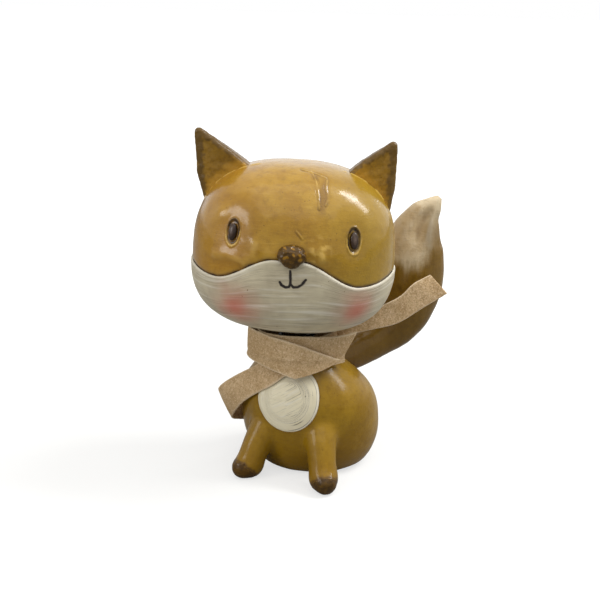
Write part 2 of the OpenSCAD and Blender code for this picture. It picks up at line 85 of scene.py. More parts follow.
def bell(d, width):
    return math.exp(-(d / width) ** 2)


def lumps(p, size, seed=0.0):
    return noise.noise(p / size + Vector((seed, seed * 1.7, -seed)))


def line_distance(p, line):
    """Least distance from a point to a run of points."""
    best = 1e9
    for a, b in zip(line, line[1:]):
        along = b - a
        t = min(max((p - a).dot(along) / along.length_squared, 0.0), 1.0)
        best = min(best, (p - a - along * t).length)
    return best


def add_object(name, data):
    obj = bpy.data.objects.new(name, data)
    scene.collection.objects.link(obj)
    return obj


def mesh_object(name, bm):
    """An object from a mesh that is then given up."""
    mesh = bpy.data.meshes.new(name)
    bm.to_mesh(mesh)
    bm.free()
    return add_object(name, mesh)


# Camera, lamps and floor

def make_camera():
    camera = add_object("camera", bpy.data.cameras.new("camera"))
    eye, target = Vector((123.8, -355.8, 167.0)), Vector((-4.4, -3.5, 59.5))
    roll = Matrix.Rotation(math.radians(1), 3, "Z")
    camera.matrix_world = (Matrix.Translation(eye * MM)
                           @ ((target - eye).to_track_quat("-Z", "Y").to_matrix() @ roll).to_4x4())
    camera.data.lens, camera.data.sensor_width = 66, 36
    scene.camera = camera
    bpy.context.view_layer.update()


def add_lamp(name, way, distance, size, level, colour=(1, 1, 1), tall=1.0):
    """A soft lamp; way is where it hangs as the camera sees the fox, level how brightly it lights it."""
    data = bpy.data.lights.new(name, "AREA")
    data.shape, data.size, data.size_y = "RECTANGLE", size, size * tall
    data.energy, data.color = level * math.pi ** 2 * distance ** 2, colour
    lamp = add_object(name, data)
    out = (scene.camera.matrix_world.to_3x3() @ Vector(way)).normalized()
    lamp.location = LAMP_AIM + out * distance
    lamp.rotation_euler = (-out).to_track_quat("-Z", "Y").to_euler()


def make_floor():
    bm = bmesh.new()
    bmesh.ops.create_grid(bm, x_segments=2, y_segments=2, size=6)
    floor = mesh_object("floor", bm)
    material, tree, paint = new_material("floor_white")
    seen = join(tree, "ShaderNodeLightPath")
    far = join(tree, "ShaderNodeVectorMath", operation="LENGTH")
    link(tree, join(tree, "ShaderNodeTexCoord").outputs["Object"], far.inputs[0])
    glow = step_between(tree, far.outputs["Value"], 0.08, 0.35, 0.66, 1.0)
    wire(tree, paint, Base_Color=(0.34, 0.34, 0.33, 1), Roughness=0.9, Specular_IOR_Level=0.1,
         Emission_Color=(1, 1, 1, 1),
         Emission_Strength=join_math(tree, "MULTIPLY", seen.outputs["Is Camera Ray"], glow))
    floor.data.materials.append(material)


def make_world():
    world = bpy.data.worlds.new("studio")
    scene.world = world
    world.use_nodes = True
    tree = world.node_tree
    tree.nodes.clear()
    seen = join(tree, "ShaderNodeLightPath")
    shiny = join_math(tree, "MAXIMUM", seen.outputs["Is Glossy Ray"], seen.outputs["Is Transmission Ray"])
    bright = join_math(tree, "MAXIMUM", seen.outputs["Is Camera Ray"], shiny)
    strength = join_math(tree, "MULTIPLY_ADD", bright, 1 - WORLD_LEVEL, WORLD_LEVEL)
    sky = wire(tree, join(tree, "ShaderNodeBackground"), Color=(1, 1, 1, 1), Strength=strength)
    link(tree, sky.outputs["Background"], join(tree, "ShaderNodeOutputWorld").inputs["Surface"])


# Material helpers

def srgb(red, green, blue):
    """A colour written as it looks on screen, 0 to 255, as the linear one that shaders use."""
    return tuple((c / 255 / 12.92) if c < 10.3 else ((c / 255 + 0.055) / 1.055) ** 2.4
                 for c in (red, green, blue)) + (1.0,)


def join(tree, kind, **values):
    node = tree.nodes.new(kind)
    for key, value in values.items():
        setattr(node, key, value)
    return node


def link(tree, source, socket):
    """Joins an output to a socket, or writes a plain value there."""
    if isinstance(source, bpy.types.NodeSocket):
        tree.links.new(source, socket)
    else:
        socket.default_value = source


def wire(tree, node, **values):
    """Joins or writes to a node's named inputs; an underscore in a name stands for a space."""
    for label, value in values.items():
        link(tree, value, node.inputs[label.replace("_", " ")])
    return node


def join_math(tree, operation, *terms, clamp=False):
    node = join(tree, "ShaderNodeMath", operation=operation, use_clamp=clamp)
    for socket, term in zip(node.inputs, terms):
        link(tree, term, socket)
    return node.outputs[0]


def mix_colour(tree, share, low, high):
    node = join(tree, "ShaderNodeMix", data_type="RGBA")
    link(tree, share, node.inputs[0])
    link(tree, low, node.inputs[6])
    link(tree, high, node.inputs[7])
    return node.outputs[2]


def step_between(tree, value, low, high, out_low=0.0, out_high=1.0):
    node = join(tree, "ShaderNodeMapRange", interpolation_type="SMOOTHSTEP")
    for socket, term in zip(node.inputs, (value, low, high, out_low, out_high)):
        link(tree, term, socket)
    return node.outputs[0]


def noise_at(tree, place, scale, detail=2.0, roughness=0.5, stretch=None):
    if stretch:
        place = wire(tree, join(tree, "ShaderNodeMapping"), Vector=place, Scale=stretch).outputs[0]
    node = join(tree, "ShaderNodeTexNoise")
    return wire(tree, node, Vector=place, Scale=scale, Detail=detail, Roughness=roughness).outputs["Fac"]


def in_millimetres(tree):
    place = join(tree, "ShaderNodeTexCoord").outputs["Object"]
    return wire(tree, join(tree, "ShaderNodeMapping"), Vector=place, Scale=(1 / MM,) * 3).outputs[0]


def painted_on(tree, name, output="Fac"):
    return join(tree, "ShaderNodeAttribute", attribute_name=name).outputs[output]


def new_material(name):
    material = bpy.data.materials.new(name)
    material.use_nodes = True
    return material, material.node_tree, material.node_tree.nodes["Principled BSDF"]


def set_bump(tree, paint, height, depth):
    """Raises the paint by a height; depth is in metres."""
    bump = wire(tree, join(tree, "ShaderNodeBump"), Strength=1.0, Distance=depth, Height=height)
    link(tree, bump.outputs[0], paint.inputs["Normal"])


def set_coat(tree, paint, weight):
    wire(tree, paint, Coat_Weight=weight, Coat_IOR=COAT_IOR, Coat_Roughness=COAT_ROUGHNESS)


def paint_over(tree, colour, layers):
    """Paints layers over a colour in turn, each an attribute, a screen colour and the most that it covers."""
    for attribute, tint, most in layers:
        share = join_math(tree, "MULTIPLY", painted_on(tree, attribute), most, clamp=True)
        colour = mix_colour(tree, share, colour, srgb(*tint))
    return colour


def new_group(name, inputs, outputs):
    """A shader node group with named inputs and outputs; returns it with its two end nodes."""
    group = bpy.data.node_groups.new(name, "ShaderNodeTree")
    for label, kind, value in inputs:
        socket = group.interface.new_socket(label, in_out="INPUT", socket_type=kind)
        if value is not None:
            socket.default_value = value
    for label, kind in outputs:
        group.interface.new_socket(label, in_out="OUTPUT", socket_type=kind)
    return group, join(group, "NodeGroupInput"), join(group, "NodeGroupOutput")


def use_group(tree, group, **values):
    return wire(tree, join(tree, "ShaderNodeGroup", node_tree=group), **values)


def hand_paint_group():
    """Brushed satin paint on cast resin: blotches, mottling, specks, painted shade in the hollows and rubbed
    edges.
    """
    colour, value, vector = "NodeSocketColor", "NodeSocketFloat", "NodeSocketVector"
    group, given, made = new_group("hand_paint", [
        ("Place", vector, None), ("Base", colour, None), ("Second", colour, None), ("Dark", colour, None),
        ("Light", colour, None), ("Hollow", value, 0.0), ("Mottle", value, 0.35), ("Specks", value, 0.6)],
        [("Color", colour), ("Roughness", value), ("Height", value)])
    given = given.outputs
    place = given["Place"]
    blotch = noise_at(group, place, 0.075, 4, 0.6)
    base = mix_colour(group, step_between(group, blotch, 0.40, 0.60), given["Base"], given["Second"])
    cloud = noise_at(group, place, 0.42, 5, 0.65)
    worn = join_math(group, "MULTIPLY", step_between(group, cloud, 0.46, 0.72), given["Mottle"])
    base = mix_colour(group, worn, base, given["Dark"])
    streak = noise_at(group, place, 1.0, 3, 0.6, stretch=(0.16, 0.5, 1.5))
    base = mix_colour(group, step_between(group, streak, 0.5, 0.78, 0.0, 0.22), base, given["Light"])
    dots = noise_at(group, place, 1.35, 1)
    area = step_between(group, noise_at(group, place, 0.13, 1), 0.45, 0.6)
    speck = join_math(group, "MULTIPLY", step_between(group, dots, 0.70, 0.76),
                      join_math(group, "MULTIPLY", area, given["Specks"]))
    base = mix_colour(group, speck, base, given["Dark"])
    # Hollows darkened towards the dark colour: painted shade.
    base = mix_colour(group, step_between(group, given["Hollow"], 0.02, 0.30, 0.0, 0.85), base, given["Dark"])
    wear_and_highlight = step_between(group, given["Hollow"], -0.04, -0.22, 0.0, 0.5)
    base = mix_colour(group, wear_and_highlight, base, given["Light"])
    fine = noise_at(group, place, 2.6)
    height = join_math(group, "MULTIPLY_ADD", fine, 0.25, join_math(group, "MULTIPLY", cloud, 0.9))
    height = join_math(group, "MULTIPLY_ADD", streak, 0.5, height)
    wire(group, made, Color=base, Roughness=join_math(group, "MULTIPLY_ADD", cloud, 0.28, 0.20),
         Height=join_math(group, "MULTIPLY_ADD", speck, -0.5, height))
    return group


def brush_lines_group():
    """Fine lines left by a brush; Flow's first part runs along the strokes, its second across them."""
    group, given, made = new_group("brush_lines", [("Flow", "NodeSocketVector", None)],
                                   [("Lines", "NodeSocketFloat"), ("Broad", "NodeSocketFloat")])
    fine = noise_at(group, given.outputs["Flow"], 1.0, 3, 0.6, stretch=(0.06, 2.3, 0))
    broad = noise_at(group, given.outputs["Flow"], 1.0, 2, 0.5, stretch=(0.04, 0.6, 0))
    wire(group, made, Lines=fine, Broad=broad)
    return group


def hand_paint(tree, base, second, dark, light, mottle, specks):
    return use_group(tree, HAND_PAINT, Place=in_millimetres(tree), Base=srgb(*base), Second=srgb(*second),
                     Dark=srgb(*dark), Light=srgb(*light), Hollow=painted_on(tree, "hollow"), Mottle=mottle,
                     Specks=specks)


def resin_material(name, base, second, dark, light, mottle, specks, roughness_cut=0.0, gloss=0.6, layers=()):
    """Painted resin in four screen colours, with layers painted over it."""
    material, tree, paint = new_material(name)
    node = hand_paint(tree, base, second, dark, light, mottle, specks)
    wire(tree, paint, Base_Color=paint_over(tree, node.outputs["Color"], layers), Specular_IOR_Level=0.12,
         Roughness=join_math(tree, "SUBTRACT", node.outputs["Roughness"], roughness_cut))
    set_coat(tree, paint, gloss)
    set_bump(tree, paint, node.outputs["Height"], RESIN_BUMP)
    return material


def white_paint_material(name, base, grey, layers=()):
    """Thick off-white paint with brush lines that follow the flow attribute."""
    material, tree, paint = new_material(name)
    lines = use_group(tree, BRUSH_LINES, Flow=painted_on(tree, "flow", "Vector"))
    place = in_millimetres(tree)
    patchy = step_between(tree, noise_at(tree, place, 0.09, 3, 0.6), 0.36, 0.66)
    colour = mix_colour(tree, patchy, srgb(*base), srgb(*grey))
    groove = step_between(tree, lines.outputs["Lines"], 0.48, 0.34)
    # Darkens the grooves of the brush lines, by an amount painted on the mesh.
    groove_darkening_share = join_math(tree, "MULTIPLY_ADD", painted_on(tree, "groove_darkening"), 0.44, 0.10, clamp=True)
    colour = mix_colour(tree, join_math(tree, "MULTIPLY", groove, groove_darkening_share), colour, srgb(96, 88, 74))
    colour = mix_colour(tree, step_between(tree, lines.outputs["Broad"], 0.5, 0.7, 0.0, 0.45), colour,
                        srgb(240, 236, 224))
    dots = step_between(tree, noise_at(tree, place, 0.9, 1), 0.78, 0.81)
    colour = mix_colour(tree, dots, colour, srgb(110, 92, 66))
    wire(tree, paint, Base_Color=paint_over(tree, colour, layers), Specular_IOR_Level=0.4,
         Roughness=step_between(tree, lines.outputs["Broad"], 0.3, 0.7, 0.36, 0.52))
    height = join_math(tree, "MULTIPLY_ADD", lines.outputs["Lines"], 1.0,
                       join_math(tree, "MULTIPLY", lines.outputs["Broad"], 1.2))
    set_bump(tree, paint, height, RESIN_BUMP)
    return material


def felt_material():
    """Matted wool felt in beige: tangled fibres, darker flecks and paler edges."""
    material, tree, paint = new_material("scarf_felt")
    place = in_millimetres(tree)
    cloud = noise_at(tree, place, 0.16, 3, 0.6)
    colour = mix_colour(tree, step_between(tree, cloud, 0.35, 0.65), srgb(206, 177, 137), srgb(192, 162, 121))
    warp = join(tree, "ShaderNodeVectorMath", operation="ADD")
    twist = wire(tree, join(tree, "ShaderNodeTexNoise"), Vector=place, Scale=0.8)
    grow = join(tree, "ShaderNodeVectorMath", operation="SCALE")
    link(tree, twist.outputs["Color"], grow.inputs[0])
    grow.inputs["Scale"].default_value = 1.6
    link(tree, place, warp.inputs[0])
    link(tree, grow.outputs[0], warp.inputs[1])
    fibre_a = noise_at(tree, warp.outputs[0], 1.0, 2, 0.6, stretch=(0.7, 2.8, 2.3))
    fibre_b = noise_at(tree, warp.outputs[0], 1.0, 2, 0.6, stretch=(2.6, 0.7, 1.2))
    fibres = join_math(tree, "MAXIMUM", fibre_a, fibre_b)
    colour = mix_colour(tree, step_between(tree, fibres, 0.57, 0.68, 0.0, 0.55), colour, srgb(236, 214, 180))
    colour = mix_colour(tree, step_between(tree, fibres, 0.53, 0.44, 0.0, 0.45), colour, srgb(146, 114, 74))
    flecks = step_between(tree, noise_at(tree, place, 1.5, 2, 0.6), 0.58, 0.68, 0.0, 0.35)
    colour = mix_colour(tree, flecks, colour, srgb(144, 111, 68))
    colour = paint_over(tree, colour, [("edge", (240, 222, 192), 0.7)])
    wire(tree, paint, Base_Color=colour, Roughness=0.95, Specular_IOR_Level=0.1)
    height = join_math(tree, "MULTIPLY_ADD", noise_at(tree, place, 5.0, 2, 0.6), 0.5, fibres)
    set_bump(tree, paint, height, FELT_BUMP)
    return material


# Dark plastic for the spring seats and socket; its darkness is painted shade, so the gap under the chin reads
# as shadow.
def plain_plastic_material():
    material, tree, paint = new_material("dark_plastic")
    place = in_millimetres(tree)
    colour = mix_colour(tree, noise_at(tree, place, 0.5, 3), srgb(40, 28, 16), srgb(28, 20, 12))
    wire(tree, paint, Base_Color=colour, Specular_IOR_Level=0.2,
         Roughness=step_between(tree, noise_at(tree, place, 1.5, 2), 0.3, 0.7, 0.6, 0.75))
    set_bump(tree, paint, noise_at(tree, place, 4.0, 2), 0.00003)
    return material


# Dark, rough steel for the neck coil; its darkness is painted shade, so the coil in the gap under the chin
# reads as shadow.
def spring_steel_material():
    material, tree, paint = new_material("coil_steel")
    drawn = noise_at(tree, in_millimetres(tree), 1.0, 3, 0.6, stretch=(2.0, 2.0, 9.0))
    wire(tree, paint, Base_Color=mix_colour(tree, drawn, srgb(48, 44, 40), srgb(32, 30, 28)), Metallic=1.0,
         Roughness=step_between(tree, drawn, 0.3, 0.7, 0.5, 0.65))
    set_bump(tree, paint, drawn, 0.00001)
    return material


# Mesh helpers

def ball(cuts):
    """A unit ball of nearly even four-sided faces."""
    bm = bmesh.new()
    bmesh.ops.create_cube(bm, size=2)
    bmesh.ops.subdivide_edges(bm, edges=bm.edges[:], cuts=cuts, use_grid_fill=True)
    for v in bm.verts:
        v.co = Vector([math.tan(c * math.pi / 4) for c in v.co]).normalized()
    return bm


def refine(bm, wanted, cuts):
    """Divides the faces round the points that wanted() picks."""
    near = {v for v in bm.verts if wanted(v.co)}
    edges = [e for e in bm.edges if e.verts[0] in near and e.verts[1] in near]
    bmesh.ops.subdivide_edges(bm, edges=edges, cuts=cuts, use_grid_fill=True)


def cut_along(bm, field):
    """Makes edges of the mesh follow field = 0."""
    value = {v: field(v.co) for v in bm.verts}
    crossing = [e for e in bm.edges if value[e.verts[0]] * value[e.verts[1]] < 0]
    on_line = set()
    for e in crossing:
        a, b = e.verts
        if a in on_line or b in on_line:
            continue
        share = value[a] / (value[a] - value[b])
        if share < 0.25 or share > 0.75:
            near = a if share < 0.25 else b
            near.co = a.co.lerp(b.co, share)
            on_line.add(near)
    for v in on_line:
        value[v] = 0.0
    for e in [e for e in crossing if value[e.verts[0]] * value[e.verts[1]] < 0]:
        a, b = e.verts
        share = value[a] / (value[a] - value[b])
        new = bmesh.utils.edge_split(e, a, share)[1]
        value[new] = 0.0
        on_line.add(new)
    bmesh.ops.connect_verts(bm, verts=list(on_line), check_degenerate=False)


def keep_faces(bm, field, sign=1):
    lost = [f for f in bm.faces if field(f.calc_center_median()) * sign < 0]
    bmesh.ops.delete(bm, geom=lost, context="FACES")


def close_holes(bm):
    edges = [e for e in bm.edges if e.is_boundary]
    if edges:
        bmesh.ops.holes_fill(bm, edges=edges, sides=0)
        for e in edges:
            e.smooth = False


def fuse(bm, voxel):
    """One skin round everything in the mesh."""
    rough = mesh_object("rough", bm)
    skin = rough.modifiers.new("skin", "REMESH")
    skin.mode, skin.voxel_size = "VOXEL", voxel
    done = rough.evaluated_get(bpy.context.evaluated_depsgraph_get()).to_mesh()
    out = bmesh.new()
    out.from_mesh(done)
    mesh = rough.data
    bpy.data.objects.remove(rough)
    bpy.data.meshes.remove(mesh)
    return out


def relax(bm, rounds):
    for _ in range(rounds):
        bmesh.ops.smooth_vert(bm, verts=bm.verts[:], factor=0.5, use_axis_x=True, use_axis_y=True,
                              use_axis_z=True)


def push_out(bm, amount):
    """Moves each point along its normal by amount(point, normal)."""
    bm.normal_update()
    moves = [(v, v.normal.copy() * amount(v.co, v.normal)) for v in bm.verts]
    for v, move in moves:
        v.co += move


def add_layers(bm, *names):
    for name in names:
        bm.verts.layers.float.new(name)
    return [bm.verts.layers.float[name] for name in names]


def paint_points(bm, name, value):
    layer = bm.verts.layers.float.new(name)
    for v in bm.verts:
        v[layer] = value(v.co)


def find_hollows(bm, rounds=14, share=1.6):
    """Writes how far each point moves out when relaxed, times share: above 0 in hollows, below 0 on edges."""
    layer = bm.verts.layers.float.new("hollow")
    bm.normal_update()
    before = [(v, v.co.copy(), v.normal.copy()) for v in bm.verts]
    relax(bm, rounds)
    for v, co, normal in before:
        v[layer] = (v.co - co).dot(normal) * share
        v.co = co


def piece(name, bm, material, body, replaces=(), place=None):
    """Turns a mesh in millimetres into a finished piece that rides on a body."""
    bmesh.ops.transform(bm, matrix=Matrix.Scale(MM, 4) @ (place or Matrix()), verts=bm.verts[:])
    for face in bm.faces:
        face.smooth = True
    obj = mesh_object(name, bm)
    obj.data.materials.append(material)
    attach(obj, body)
    if replaces:
        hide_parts(*replaces)
    return obj


def thicken(obj, depth):
    """Gives a layer of paint its depth, inwards."""
    wall = obj.modifiers.new("wall", "SOLIDIFY")
    wall.thickness, wall.offset = depth * MM, -1


# The head's form, in its own frame: face towards -Y, origin at the cheeks' level

def bow(share, power):
    """The height of a rounded arch at a share of its half width."""
    return (1 - abs(share) ** power) ** (1 / power)


def plan_share(x, y):
    """How far out a place is in the head's plan, 1 at its outline."""
    return (abs(x / HEAD_HALF_W) ** PLAN_POWER + abs(y / HEAD_HALF_D) ** PLAN_POWER) ** (1 / PLAN_POWER)


def half_form(z):
    return (CROWN_H, CROWN_POWER) if z > 0 else (CHIN_H, CHIN_POWER)


def head_radius(way):
    tall, power = half_form(way.z)
    return (plan_share(way.x, way.y) ** power + abs(way.z / tall) ** power) ** (-1 / power)


def on_head(p):
    return p * head_radius(p)


def face_point(x, z):
    """The skin's point at a place on the face."""
    tall, power = half_form(z)
    wide = bow(z / tall, power)
    return Vector((x, -HEAD_HALF_D * wide * bow(x / (HEAD_HALF_W * wide), PLAN_POWER), z))


def crown_point(x, y):
    """The skin's point above a place in the head's plan."""
    return Vector((x, y, CROWN_H * bow(plan_share(x, y), CROWN_POWER)))


def face_frame(x, z):
    """A frame on the face with its -Y straight out of the skin."""
    step = 0.2
    across, up = (face_point(x + dx, z + dz) - face_point(x - dx, z - dz)
                  for dx, dz in ((step, 0), (0, step)))
    n = across.cross(up).normalized()
    return (Matrix.Translation(face_point(x, z)) @ Matrix.Rotation(math.atan2(n.x, -n.y), 4, "Z")
            @ Matrix.Rotation(-math.asin(n.z), 4, "X"))


def mask_edge(x):
    far = abs(x + 1.2)
    if far < 24:
        return mix(4.4, -4.0, smooth((far - 4) / 20))
    return -4.0 + 2.4 * ((far - 24) / (HEAD_HALF_W - 24)) ** 2


def mask_field(p):
    """Above 0 inside the white mask; roughly the distance to its outline."""
    slope = (mask_edge(p.x + 0.3) - mask_edge(p.x - 0.3)) / 0.6
    return min((mask_edge(p.x) - p.z) / math.hypot(1, slope), MASK_BACK - p.y)


NECK_LINE = HEAD_FRAME.inverted() @ Vector((NECK_X, NECK_Y, 50.0))
NECK_WAY = (HEAD_FRAME.inverted().to_3x3() @ Vector((0, 0, 1))).normalized()


def chin_hole_field(p):
    """Above 0 outside the round hole in the chin."""
    if p.z > 0:
        return 20.0
    out = p - NECK_LINE
    return (out - NECK_WAY * out.dot(NECK_WAY)).length - CHIN_HOLE_R


EYES = {side: face_frame(side * EYE_X, EYE_Z) for side in (-1, 1)}
EYES_BACK = {side: m.inverted() for side, m in EYES.items()}


def eye_rings(p):
    """How far a point is from the nearer eye, in eye outlines and in hollows, and its height there."""
    q = EYES_BACK[1 if p.x > 0 else -1] @ p
    if p.y > -5 or abs(q.x) > 16 or abs(q.z) > 20:
        return 9.0, 9.0, 0.0
    return (math.hypot(q.x / EYE_RING_W, q.z / EYE_RING_H),
            math.hypot(q.x / EYE_HOLLOW_W, q.z / EYE_HOLLOW_H), q.z)


def face_line(points):
    return [face_point(x, z) for x, z in points]


# Fine raised cracks in the paint of the forehead, as points in the head's frame
FOREHEAD_CRACKS = [[Vector(point) for point in crack] for crack in (
    ((1.0, -10.8, 31.0), (5.0, -12.3, 30.4), (9.0, -14.0, 29.3)),
    ((4.0, -11.2, 30.8), (6.1, -17.0, 28.1), (7.0, -21.0, 24.6), (7.6, -23.7, 20.9)),
    ((9.4, -15.0, 28.8), (9.2, -18.5, 26.6), (10.1, -20.6, 24.0), (9.5, -22.6, 22.0)))]
FOREHEAD_CRACKS.append(face_line([(0.9, 14.0), (3.0, 11.7)]))
BROW_BUMP = face_point(-24.0, 16.5)
CHEEK_FOLD = face_line([(-25, 3.0), (-21, 3.8), (-15.4, 2.6), (-12.6, 4.9), (-12.0, 8.5)])
UNDER_FOLD = face_line([(-25, 0.6), (-20, 1.2), (-14, 0.4)])
MOUTH_LINES = [
    face_line([(-0.1, 1.4), (0.1, -1.0), (0.2, -3.2)]),
    face_line([(-3.2, -2.5), (-2.6, -3.5), (-1.3, -4.1), (-0.2, -3.85), (0.2, -3.0)]),
    face_line([(0.3, -3.0), (1.2, -3.85), (2.5, -3.75), (3.8, -2.9), (4.9, -1.2)])]
BLUSH_SPOTS = [face_point(-17.2, -13.4), face_point(21.9, -12.0)]
EAR_SEAMS = [[crown_point(side * (12.6 + 2.6 * i), -4.2) for i in range(8)] for side in (-1, 1)]


def nearest(p, lines):
    return min(line_distance(p, line) for line in lines)


def spot(p, x, z, wide, high, power=1):
    """1 at a place on the face, falling to 0 round it; a higher power gives a flatter top."""
    return bell(math.hypot((p.x - x) / wide, (p.z - z) / high) ** power, 1)


def glue_share(p):
    """Where the glue round the ears shows, 0 to 1."""
    return smooth(0.5 + 2.6 * lumps(p, 2.0, 2))


def near_detail(p):
    if abs(mask_field(p)) < 0.9:
        return True
    if p.y > 2:
        return False
    if eye_rings(p)[0] < 1.55:
        return True
    return nearest(p, FOREHEAD_CRACKS) < 1.3 or nearest(p, MOUTH_LINES) < 1.1


def soft_form(p):
    """The hand-modelled form that the smooth head lacks: muzzle, hollows of the eyes, small lumps."""
    lift = 0.12 * lumps(p, 9) + 0.06 * lumps(p, 3.2, 5) + 0.016 * lumps(p, 1.3, 8)
    if p.y < 0:
        lift += 0.6 * spot(p, 0, 4, 9, 7)
        lift += spot(p, 9, 7, 4.0, 3.6) * (0.8 + 0.5 * lumps(p, 3.2, 9))
        lift += 0.5 * spot(p, -8, 6, 3.5, 3.0)
        lift -= 1.0 * bell(eye_rings(p)[1], 0.85)
        lift += 0.55 * bell((p - BROW_BUMP).length, 3.0)
        lift += 0.4 * bell(line_distance(p, CHEEK_FOLD), 1.8) - 0.25 * bell(line_distance(p, UNDER_FOLD), 2.0)
    return lift


def skin_relief(p, normal):
    inside = mask_field(p)
    lift = soft_form(p)
    if inside > 0:
        return lift - 0.3 - (MASK_RECESS - 0.3) * smooth(inside / 0.5)
    lift -= 0.3 * bell(inside, 0.42)
    ring = eye_rings(p)[0]
    if ring < 2:
        uneven = 0.8 + 0.8 * lumps(p, 1.6, 4)
        lift += (0.30 * uneven * bell(ring - 1.16, 0.13) - 0.25 * bell(ring - 0.93, 0.13)
                 - 0.6 * (1 - smooth(ring)))
    for line in FOREHEAD_CRACKS:
        away = line_distance(p, line)
        if away < 1.5:
            lift += (0.13 * bell(away, 0.24) - 0.08 * bell(away - 0.6, 0.3)) * (0.8 + 1.1 * lumps(p, 2.6, 3))
    for line in EAR_SEAMS:
        lift += 0.30 * bell(line_distance(p, line), 0.6) * glue_share(p)
    return lift


def mask_relief(p, normal):
    inside = max(mask_field(p), 0.0)
    lift = soft_form(p) + MASK_PROUD * (1 - math.exp(-inside / 0.28)) + 0.08 * bell(inside - 0.7, 0.35)
    return lift - 0.10 * bell(nearest(p, MOUTH_LINES), 0.4)


def make_head():
    bm = ball(HEAD_CUTS)
    for v in bm.verts:
        v.co = on_head(v.co)
    refine(bm, near_detail, 2)
    for v in bm.verts:
        v.co = on_head(v.co)
    cut_along(bm, mask_field)
    cut_along(bm, chin_hole_field)
    keep_faces(bm, chin_hole_field)
    for v in bm.verts:
        if abs(mask_field(v.co)) > 1e-4:
            v.co = on_head(v.co)
    mask = bm.copy()
    keep_faces(mask, mask_field)
    make_head_skin(bm)
    make_face_mask(mask)


def make_head_skin(bm):
    seam, gold_and_highlight, eye, glue_ridge_highlight, warm, olive, peel, cheek_fold_highlight = add_layers(
        bm, "seam", "gold_and_highlight", "eye_dark_and_shade", "glue_ridge_highlight", "warm", "olive", "peel", "cheek_fold_highlight")
    for v in bm.verts:
        p = v.co
        ring, _, up = eye_rings(p)
        inside = mask_field(p)
        uneven = 0.85 + 0.9 * lumps(p, 1.4, 6)
        # Round each eye: a dark painted outline and pupil ring, painted shade over the top of the rim and a
        # painted highlight along its lower part.
        over = smooth((up + 0.8) / 3.2)
        v[eye] = min(1.0, bell(ring - 0.90, 0.14) * uneven + 0.8 * (1 - smooth((ring - 0.62) / 0.2))
                     + 0.75 * bell(ring - 1.12, 0.15) * over)
        v[gold_and_highlight] = bell(ring - 1.15, 0.11) * mix(0.95, 0.0, over) * uneven
        v[seam] = bell(inside + 0.15, 0.62) * (0.85 + 0.7 * lumps(p, 2.5, 7))
        # Along each raised crack: a painted highlight, with painted shade beside it.
        cracks = nearest(p, FOREHEAD_CRACKS)
        broken = 0.6 + 1.2 * lumps(p, 2.4, 8)
        v[gold_and_highlight] = max(v[gold_and_highlight], 0.4 * bell(cracks, 0.22) * broken)
        # A pale blotchy patch on the muzzle beside the nose: a painted highlight.
        wear_and_highlight = spot(p, 8.8, 8, 3.4, 4.4, 2) * (p.y < 0)
        v[gold_and_highlight] = max(v[gold_and_highlight], 0.75 * wear_and_highlight * smooth((lumps(p, 1.7, 4) - 0.02) / 0.25))
        v[eye] = max(v[eye], 0.35 * bell(cracks - 0.5, 0.25) * (1.1 - broken))
        v[peel] = spot(p, 8.6, 24, 1.5, 4.6, 3) * (p.y < 0)
        # The cheek fold is painted lighter: a painted highlight along its ridge.
        v[cheek_fold_highlight] = 0.5 * bell(line_distance(p, CHEEK_FOLD), 1.2) * broken
        # The glue ridge round the ears' feet is painted lighter: a painted highlight along the ridge.
        v[glue_ridge_highlight] = bell(nearest(p, EAR_SEAMS), 0.55) * glue_share(p)
        v[warm] = smooth((-p.x - 2) / 26) * 0.6 + 0.4 * bell(ring, 2.2)
        v[olive] = smooth((p.x - 2) / 24)
    push_out(bm, skin_relief)
    find_hollows(bm)
    edges = [e for e in bm.edges if e.is_boundary]
    wall = bmesh.ops.extrude_edge_only(bm, edges=edges)["geom"]
    for v in [g for g in wall if isinstance(g, bmesh.types.BMVert)]:
        v.co += NECK_WAY * NECK_WALL
    close_holes(bm)
    # The layers over the ochre include painted highlights on the cheek fold, ear glue, muzzle, cracks and
    # lower eye rims, and painted shade over the eyes and beside the cracks.
    skin = resin_material("head_ochre", (172, 132, 34), (158, 117, 24), (96, 62, 8), (198, 160, 70),
                          mottle=0.30, specks=0.7, gloss=1.0, layers=(
                              ("warm", (166, 112, 36), 0.6), ("olive", (150, 122, 36), 0.55),
                              ("peel", (122, 86, 30), 0.6), ("cheek_fold_highlight", (208, 170, 98), 0.5),
                              ("glue_ridge_highlight", (222, 190, 104), 0.7), ("gold_and_highlight", (222, 184, 96), 0.8),
                              ("seam", (52, 34, 14), 0.95), ("eye_dark_and_shade", (44, 27, 12), 0.95)))
    piece("head_skin", bm, skin, "head", ["head_shell"], HEAD_FRAME)


